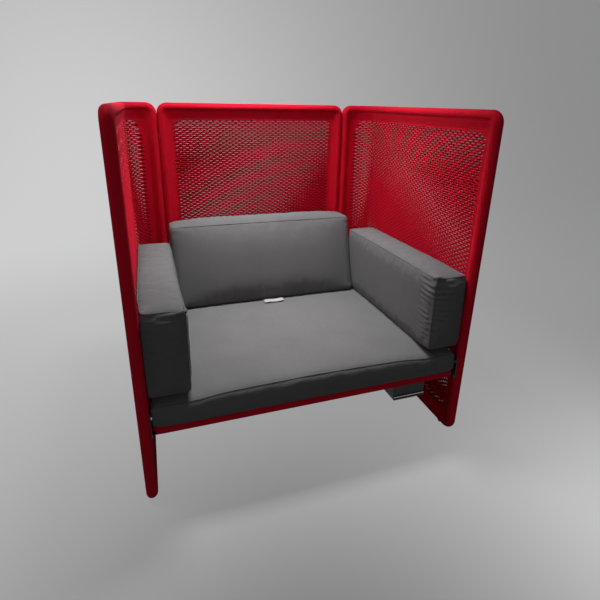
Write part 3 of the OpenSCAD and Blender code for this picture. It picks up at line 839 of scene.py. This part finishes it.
def crease(piece, line, reach, length, depth, start_share):
    """Gathers the cloth in small folds that die out away from a seam, deepest at its last end."""
    seam = nearest(line)
    spacing = (line[1] - line[0]).length
    normals = [v.normal.copy() for v in piece.data.vertices]
    for vertex, normal in zip(piece.data.vertices, normals):
        _, number, distance = seam.find(vertex.co)
        if distance > reach:
            continue
        share = start_share + (1 - start_share) * (number / len(line)) ** 2
        stray = FOLD_STRAY * noise.noise(vertex.co * FOLD_STRAY_SCALE)
        wave = math.sin(math.tau * (number * spacing) / length + stray)
        fade = (1 - distance / reach) * min(1.0, distance / SEAM_CALM) * share
        uneven = FOLD_LEAST + FOLD_SPREAD * abs(noise.noise(vertex.co * FOLD_SCALE))
        vertex.co += normal * (depth * fade * wave * uneven)


def dress(cushion, uprights=(), puckers=(), bend=lambda p: p):
    """A sewn cushion: shell, cloth simulation, puckers and the rolled seams along its edges."""
    points, faces = cushion.shell()
    piece = add_piece(f"{cushion.node}_cloth", [cushion.settle(p) for p in points], faces,
                      "grey_cloth", cushion.node)
    lines = [cushion.seam(1), cushion.seam(-1)] + [cushion.upright(k) for k in uprights]
    lines = [[cushion.settle(p) for p in line] for line in lines]
    fill(piece, cushion, lines)
    for pucker in puckers:
        crease(piece, lines[pucker["seam"]], pucker["reach"], pucker["length"],
               pucker["depth"], pucker["start"])
    for vertex in piece.data.vertices:
        vertex.co = bend(vertex.co)
    piece.data.materials.clear()
    piece.data.materials.append(finish("grey_cloth"))
    piece.data.polygons.foreach_set("use_smooth", [True] * len(piece.data.polygons))
    relax = piece.modifiers.new("relax", "SMOOTH")
    relax.factor = 0.5
    relax.iterations = cushion.relax
    surface = BVHTree.FromObject(piece, bpy.context.evaluated_depsgraph_get())
    for number, line in enumerate(lines):
        snapped = [surface.find_nearest(bend(p))[0] for p in line]
        made, quads = welt(snapped, sizes().welt, closed=number < 2)
        seam = add_piece(f"{cushion.node}_welt_{number + 1}", made, quads,
                         "seam_cloth", cushion.node)
    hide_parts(cushion.node)


SAG = 0.012  # how far the seat's front corners sink under the arm cushions
SEAT_RISE = 0.007  # how high the seat's middle stands
SEAT_EAR, ARM_EAR = 0.006, 0.009  # how high the front corners' tips stand
EAR_REACH, EAR_DROP, EAR_FORWARD = 0.022, 0.006, 0.004
LIP_FORWARD, LIP_DROOP = 0.006, 0.0065  # how far the seat's front hangs over the rail
ARM_FILL = 0.010  # how far an arm cushion swells into the screen's hollow
ARM_TOE_IN = 0.005  # how far its inner side turns in at the front
ARM_LIFT = 0.010  # how high its front foot hangs clear


def press_seat(p):
    """The seat's corners sink under the arm cushions, its middle stays high, its front droops."""
    low, high = SEAT_LOW, SEAT_HIGH
    side = ease(abs(p.x), start=high.x * 0.55, length=high.x * 0.25)
    front = ease(p.y, start=low.y + 0.16, length=-0.14)
    up = ease(p.z, start=low.z + 0.04, length=0.05)
    middle = (ease(abs(p.x), start=ARM_LOW.x, length=-ARM_LOW.x)
              * ease(p.y, start=BACK_CUSHION_LOW.y, length=-0.22))
    lip = (ease(p.y, start=low.y + 0.03, length=-0.03)
           * ease(p.z, start=RAIL_HIGH.z + 0.045, length=-0.04))
    ear = math.exp(-(abs(p.x) - high.x) ** 2 / EAR_REACH ** 2 - (p.y - low.y) ** 2 / EAR_REACH ** 2)
    rise = up * (SEAT_RISE * middle - SAG * side * front + SEAT_EAR * ear)
    return p + Vector((0, -LIP_FORWARD * lip, rise - LIP_DROOP * lip))


def shape_arm(p):
    """An arm cushion: its front foot hangs clear, its outer side fills the screen."""
    low, high = ARM_LOW, ARM_HIGH
    side = math.copysign(1.0, p.x)
    across = ease(abs(p.x), start=low.x + 0.03, length=0.09)
    front = ease(p.y, start=low.y + 0.10, length=-0.10)
    down = ease(p.z, start=low.z + 0.10, length=-0.09)
    along = ease(p.y, start=low.y + 0.03, length=0.12)
    ahead = ease(p.y, start=-0.05, length=-0.4)
    ears = 0.0
    for x, share in ((low.x, 1.0), (high.x, 0.5)):
        tip = Vector((x * side, low.y, high.z - EAR_DROP))
        ears += share * math.exp(-((p - tip).length / EAR_REACH) ** 2)
    outward = ARM_FILL * across * along - ARM_TOE_IN * (1 - across) * ahead * ahead
    rise = ARM_LIFT * front * down + ARM_EAR * ears
    return p + Vector((side * outward, -EAR_FORWARD * ears, rise))


def build_cushions():
    """The four cushions. A pucker names its seam, and its folds' reach, length and depth."""
    s = sizes()
    seat = Cushion("seat_cushion", s.seat_edge, near_corner=0.009, far_corner=0.09,
                   inset=(-0.0005, 0.001), swell=(0.001, 0.006), dome=0.008, curve=5, give=0.004,
                   relax=14, coarse=1.25)
    dress(seat, bend=press_seat)
    foot_pucker = {"seam": 0, "reach": 0.03, "length": 0.05, "depth": 0.0014, "start": 1.0}
    arm_puckers = [
        {"seam": 2, "reach": 0.095, "length": 0.023, "depth": 0.011, "start": 0.12},
        {"seam": 3, "reach": 0.060, "length": 0.026, "depth": 0.006, "start": 0.2},
        foot_pucker]
    for side, uprights in (("left", (0, 3)), ("right", (3, 0))):
        arm = Cushion(f"{side}_arm_cushion", s.arm_edge, near_corner=0.008, far_corner=0.012,
                      inset=(-0.002, -0.001), swell=(0.003, 0.016), dome=0.014, curve=4, give=0.005,
                      relax=3)
        dress(arm, uprights, arm_puckers, shape_arm)
    back = Cushion("back_cushion", s.back_edge, near_corner=0.016, far_corner=0.016,
                   inset=(0.003, 0.010), swell=(0.003, 0.022), dome=0.020, curve=2.8, give=0.003,
                   relax=14, lean=s.back_lean)
    dress(back, puckers=[{**foot_pucker, "reach": 0.04, "length": 0.06}])


# Fittings

TAG_SPANS = 18
TAG_WAVE = 0.0016  # how far the ribbon ripples


def make_tag():
    """The bare ribbon that leaves the back cushion's foot and lies loose on the seat."""
    low, high = cad("blank_tag")
    side = [(high.y, 0.008), (low.y + 0.012, 0.0085), (low.y + 0.004, 0.0080), (low.y, 0.0068),
            (low.y - 0.003, 0.0066)]
    across = len(side)
    points, faces = [], []
    for i in range(TAG_SPANS + 1):
        x = low.x + (high.x - low.x) * i / TAG_SPANS
        lift = TAG_WAVE * math.sin(2.6 * math.pi * i / TAG_SPANS)
        points += [(x, y, high.z + z + lift) for y, z in side]
    for i in range(TAG_SPANS):
        for k in range(across - 1):
            a = i * across + k
            faces.append((a, a + 1, a + 1 + across, a + across))
    piece = add_piece("blank_tag_ribbon", points, faces, "white_ribbon",
                      "back_cushion")
    solid = piece.modifiers.new("thickness", "SOLIDIFY")
    solid.thickness = 0.0008
    round_off = piece.modifiers.new("round", "SUBSURF")
    round_off.levels = round_off.render_levels = 2
    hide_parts("blank_tag")


# Finishes of the CAD pieces that show as they are, by how their names end
FITTINGS = {
    "cover": "rim_knit", "bolts": "zinc", "screws": "zinc", "glides": "black_plastic",
    "box": "black_plastic", "trim": "strip_metal", "tag": "white_ribbon", "tube": "black_coat",
    "bars": "black_coat", "bracket": "black_coat",
}


def finish_fittings():
    """The tag, and the finishes of the CAD pieces that show as they are."""
    make_tag()
    for name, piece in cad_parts.items():
        ending = name.split("_")[-1]
        if ending in FITTINGS:
            piece.data.materials.clear()
            piece.data.materials.append(finish(FITTINGS[ending]))


# Stage

SWEEP_START, SWEEP_TURN, SWEEP_TOP, SWEEP_BEND, SWEEP_HALF_WIDTH = -9.0, 3.4, 9.0, 2.5, 16.0
SWEEP_ARCS = 24
# Each lamp: name, place, target, width and depth, watts, spread in degrees
LAMPS = [
    ("key", (-0.06, 0.24, 2.35), (-0.03, -0.06, 0.4), (0.7, 0.4), 12.5, 80),
    ("ceiling_left", (-1.5, -0.1, 2.9), (0.4, 0.1, 0.8), (0.9, 0.9), 11, 180),
    ("front", (-0.7, -3.2, 2.3), (0, 0, 0.7), (1.6, 1.2), 9, 180),
    ("behind", (0.3, 3.0, 2.4), (0, 0.5, 0.8), (1.6, 1.2), 9, 180),
]
WORLD_COLOUR, WORLD_STRENGTH = (0.9, 0.93, 1.0, 1), 0.05


def build_stage():
    """Seamless floor and wall in one sweep, the lamps, a dim studio and the camera."""
    sweep = bpy.data.meshes.new("sweep")
    profile = [(SWEEP_START, 0.0)]
    for i in range(SWEEP_ARCS + 1):
        turn = i * math.pi / (2 * SWEEP_ARCS)
        profile.append((SWEEP_TURN + SWEEP_BEND * math.sin(turn),
                        SWEEP_BEND * (1 - math.cos(turn))))
    profile.append((SWEEP_TURN + SWEEP_BEND, SWEEP_TOP))
    points = [(x, y, z) for y, z in profile for x in (-SWEEP_HALF_WIDTH, SWEEP_HALF_WIDTH)]
    faces = [(2 * i, 2 * i + 1, 2 * i + 3, 2 * i + 2) for i in range(len(profile) - 1)]
    sweep.from_pydata(points, [], faces)
    sweep.polygons.foreach_set("use_smooth", [True] * len(faces))
    backdrop = bpy.data.objects.new("sweep", sweep)
    bpy.context.collection.objects.link(backdrop)
    backdrop.data.materials.append(stage_finish())
    for lamp in LAMPS:
        add_lamp(*lamp)
    world = bpy.data.worlds.new("studio")
    bpy.context.scene.world = world
    world.use_nodes = True
    background = world.node_tree.nodes["Background"]
    background.inputs["Color"].default_value = WORLD_COLOUR
    background.inputs["Strength"].default_value = WORLD_STRENGTH
    place_camera()
    bpy.context.scene.view_settings.view_transform = "Standard"


def add_lamp(name, place, target, size, power, spread):
    """A rectangular lamp that faces its target."""
    data = bpy.data.lights.new(name, "AREA")
    data.shape = "RECTANGLE"
    data.size, data.size_y = size
    data.energy = power
    data.spread = math.radians(spread)
    lamp = bpy.data.objects.new(name, data)
    lamp.location = place
    lamp.rotation_euler = (Vector(target) - Vector(place)).to_track_quat("-Z", "Y").to_euler()
    bpy.context.collection.objects.link(lamp)


# Painted pools of light on the sweep as the photograph shows them, and with a negative share a
# painted pool of shade: share, place and reach
GLOWS = [(0.496, (-1.96, 2.59, 1.68), 3.12), (0.40, (-0.65, 8.0, 0.17), 5.0),
         (0.39, (1.19, -1.26, 0.0), 0.66), (-0.28, (-0.26, -1.19, 0.0), 0.66)]
DIM_LEVEL = 0.354
SHINE_SHARE = 0.7


def stage_finish():
    """Grey paint that glows with painted pools of light and shade at the photograph's levels, for
    camera, glossy and transmitted rays.
    """
    paint = Finish("stage_paint", Roughness=0.9)
    axes = paint.axes()
    level = DIM_LEVEL
    # Each pool adds painted light, or painted shade where its share is negative
    for share, place, reach in GLOWS:
        x, y, z = (axis - at for axis, at in zip(axes, place))
        pool = ((x * x + y * y + z * z) * (-1.0 / (reach * reach))).math("EXPONENT")
        level = level + share * pool
    shade = paint.node("ShaderNodeCombineColor", {}, [level, level, level * 1.01])
    seen = paint.node("ShaderNodeLightPath", output="Is Camera Ray")
    for ray in ("Is Glossy Ray", "Is Transmission Ray"):
        seen = seen.math("MAXIMUM", paint.node("ShaderNodeLightPath", output=ray))
    paint.set("Base Color", paint.mix(seen, (0.14, 0.14, 0.14, 1), opaque(colours().floor)))
    shine = paint.node("ShaderNodeEmission", {}, {"Color": shade})
    blend = paint.node("ShaderNodeMixShader", {}, {
        0: seen * SHINE_SHARE, 1: Wire(paint, paint.shader.outputs[0]), 2: shine})
    output = paint.tree.nodes["Material Output"]
    paint.tree.links.new(blend.socket, output.inputs["Surface"])
    return paint.material


# The photograph's camera, fitted to the screens' edges: pixels of its frame, degrees and metres
CAMERA = {"focal": 447.0, "centre": (300.0, 263.0), "yaw": 18.9, "pitch": 19.8, "roll": 1.1,
          "place": (-0.541, -1.825, 1.363)}
FRAME_PIXELS = 600.0
SENSOR_WIDTH = 36.0


def place_camera():
    """Sets the camera where the photograph was taken from."""
    yaw, pitch, roll = (math.radians(CAMERA[k]) for k in ("yaw", "pitch", "roll"))
    ahead = Vector((math.sin(yaw) * math.cos(pitch), math.cos(yaw) * math.cos(pitch),
                    -math.sin(pitch)))
    level = Vector((math.cos(yaw), -math.sin(yaw), 0))
    upright = level.cross(ahead)
    right = level * math.cos(roll) + upright * math.sin(roll)
    up = upright * math.cos(roll) - level * math.sin(roll)
    data = bpy.data.cameras.new("camera")
    data.sensor_width = SENSOR_WIDTH
    data.lens = CAMERA["focal"] / FRAME_PIXELS * data.sensor_width
    data.shift_x = (FRAME_PIXELS / 2 - CAMERA["centre"][0]) / FRAME_PIXELS
    data.shift_y = (CAMERA["centre"][1] - FRAME_PIXELS / 2) / FRAME_PIXELS
    data.clip_start, data.clip_end = 0.05, 60
    camera = bpy.data.objects.new("camera", data)
    turn = Matrix((right, up, -ahead)).transposed().to_4x4()
    camera.matrix_world = Matrix.Translation(Vector(CAMERA["place"])) @ turn
    bpy.context.collection.objects.link(camera)
    bpy.context.scene.camera = camera


# Operators

class CHAIR_OT_stage(bpy.types.Operator):
    """Make the floor, the backdrop, the lamps and the camera"""
    bl_idname = "chair.stage"
    bl_label = "Stage"

    def execute(self, context):
        build_stage()
        return {"FINISHED"}


class CHAIR_OT_screens(bpy.types.Operator):
    """Make the knit skins of the three screens"""
    bl_idname = "chair.screens"
    bl_label = "Screens"

    def execute(self, context):
        for name in ("left", "back", "right"):
            screen = Screen(name)
            make_rim(screen)
            for face in (-1, 1):
                make_net(screen, face)
        return {"FINISHED"}


class CHAIR_OT_cushions(bpy.types.Operator):
    """Make the four sewn cushions"""
    bl_idname = "chair.cushions"
    bl_label = "Cushions"

    def execute(self, context):
        build_cushions()
        return {"FINISHED"}


class CHAIR_OT_fittings(bpy.types.Operator):
    """Finish the seat rail, brackets, bolts, box, glides and tag"""
    bl_idname = "chair.fittings"
    bl_label = "Fittings"

    def execute(self, context):
        finish_fittings()
        return {"FINISHED"}


class CHAIR_PT_panel(bpy.types.Panel):
    """Lists the chair's pieces, sizes and colours"""
    bl_label = "Chair"
    bl_idname = "CHAIR_PT_panel"
    bl_space_type = "VIEW_3D"
    bl_region_type = "UI"
    bl_category = "Chair"

    def draw(self, context):
        layout = self.layout
        for operator in OPERATORS:
            layout.operator(operator.bl_idname)
        for group in (context.scene.chair_sizes, context.scene.chair_colours):
            for key in group.__annotations__:
                layout.prop(group, key)


OPERATORS = (CHAIR_OT_stage, CHAIR_OT_screens, CHAIR_OT_cushions, CHAIR_OT_fittings)
CLASSES = (ChairSizes, ChairColours, *OPERATORS, CHAIR_PT_panel)


def register():
    for cls in CLASSES:
        bpy.utils.register_class(cls)
    bpy.types.Scene.chair_sizes = bpy.props.PointerProperty(type=ChairSizes)
    bpy.types.Scene.chair_colours = bpy.props.PointerProperty(type=ChairColours)


def unregister():
    del bpy.types.Scene.chair_colours
    del bpy.types.Scene.chair_sizes
    for cls in reversed(CLASSES):
        bpy.utils.unregister_class(cls)


def main():
    register()
    bpy.ops.chair.stage()
    bpy.ops.chair.screens()
    bpy.ops.chair.cushions()
    bpy.ops.chair.fittings()


if __name__ == "__main__":
    main()
